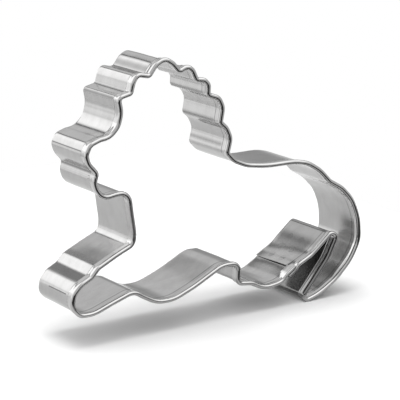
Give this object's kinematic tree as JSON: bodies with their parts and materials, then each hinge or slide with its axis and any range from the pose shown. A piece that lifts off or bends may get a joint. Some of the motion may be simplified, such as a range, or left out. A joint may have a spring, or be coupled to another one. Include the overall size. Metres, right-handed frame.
{
  "type": "cookie cutter",
  "caption": "Lion-shaped cookie cutter: one strip of tinned sheet on edge, front edge rolled for grip, back edge plain for cutting, lapped and spot welded at the hind leg.",
  "frame": {"origin": "middle of the lion's length and of the strip's depth, at the height of the lowest edge of the rolled edge", "axes": "+X from the muzzle to the rump along the length, +Y from the rolled grip edge to the cutting edge, +Z from the feet to the crown"},
  "size_m": [0.091, 0.018, 0.0658],
  "materials": {
    "tinned_sheet": "dull tinned sheet with a soft mirror",
    "tinned_roll": "tinned sheet, polished by the rolling tool",
    "weld_marks": "mottled grey press marks"
  },
  "bodies": {
    "root": {"blade_band": "tinned_sheet", "rolled_hem": "tinned_roll", "spot_welds": "weld_marks"}
  },
  "joints": []
}
